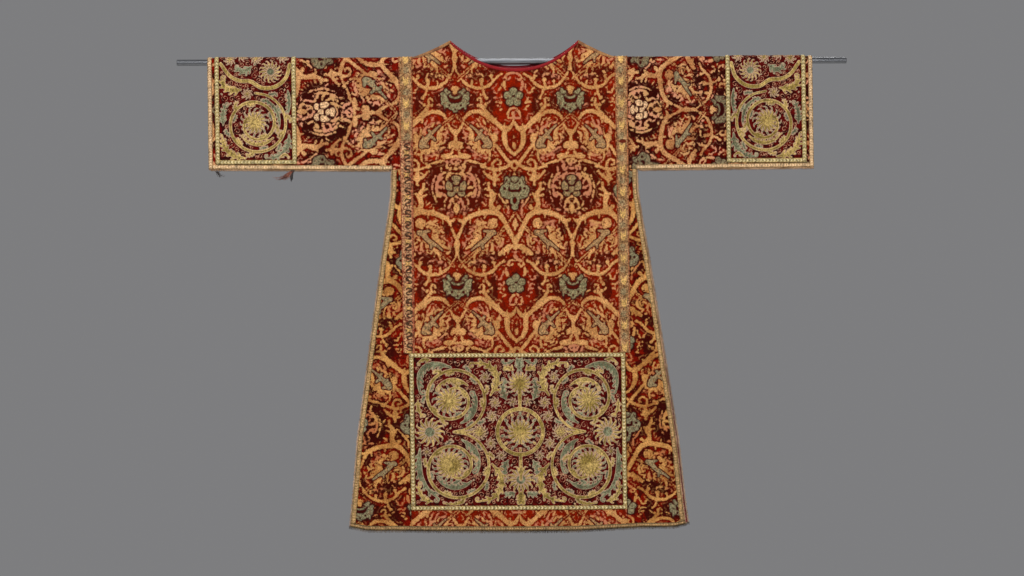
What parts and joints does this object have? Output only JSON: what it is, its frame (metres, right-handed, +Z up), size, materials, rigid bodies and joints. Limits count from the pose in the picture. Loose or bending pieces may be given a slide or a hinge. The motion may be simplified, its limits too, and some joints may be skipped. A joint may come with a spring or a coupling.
{
  "type": "dalmatic on a display rod",
  "caption": "Open-sided vestment of figured crimson velvet with embroidered apparels, hung flat on a round rod through both sleeves.",
  "frame": {"origin": "middle of the display rod's axis, where the rod is held", "axes": "+X along the rod towards the garment's left sleeve (the right one in a front view), -Y out of the garment's front, +Z up"},
  "size_m": [1.51, 0.0595, 1.111],
  "materials": {
    "velvet": "crimson velvet with gold and silver looped figure",
    "embroidery": "crimson ground with applied gold and grey-green scrolls",
    "braid": "woven cream and gold metal-thread braid",
    "fringe": "short cut silk and gilt fringe",
    "silk": "crimson silk binding",
    "steel": "plain satin steel"
  },
  "bodies": {
    "root": {"back_apparel": "embroidery", "back_apparel_braid": "braid", "back_edge_braid": "braid", "back_gore_left": "velvet", "back_gore_right": "velvet", "back_medallion": "embroidery", "back_panel": "velvet", "back_rosette": "embroidery", "back_vine_left": "embroidery", "back_vine_right": "embroidery", "clavus_back_left": "embroidery", "clavus_back_right": "embroidery", "clavus_front_left": "embroidery", "clavus_front_right": "embroidery", "clavus_upper_left": "embroidery", "clavus_upper_right": "embroidery", "cuff_apparel_braid_left": "braid", "cuff_apparel_braid_right": "braid", "cuff_apparel_left": "embroidery", "cuff_apparel_right": "embroidery", "cuff_edge_braid_left": "braid", "cuff_edge_braid_right": "braid", "cuff_vine_back_left": "embroidery", "cuff_vine_back_right": "embroidery", "cuff_vine_front_left": "embroidery", "cuff_vine_front_right": "embroidery", "fringe_back_hem": "fringe", "fringe_back_side_left": "fringe", "fringe_back_side_right": "fringe", "fringe_back_sleeve_left": "fringe", "fringe_back_sleeve_right": "fringe", "fringe_front_hem": "fringe", "fringe_front_side_left": "fringe", "fringe_front_side_right": "fringe", "fringe_front_sleeve_left": "fringe", "fringe_front_sleeve_right": "fringe", "front_apparel": "embroidery", "front_apparel_braid": "braid", "front_edge_braid": "braid", "front_gore_left": "velvet", "front_gore_right": "velvet", "front_medallion": "embroidery", "front_panel": "velvet", "front_rosette": "embroidery", "front_vine_left": "embroidery", "front_vine_right": "embroidery", "neck_binding_back": "silk", "neck_binding_front": "silk", "rod": "steel", "shoulder_braid_left": "braid", "shoulder_braid_right": "braid", "sleeve_left": "velvet", "sleeve_right": "velvet"}
  },
  "joints": []
}
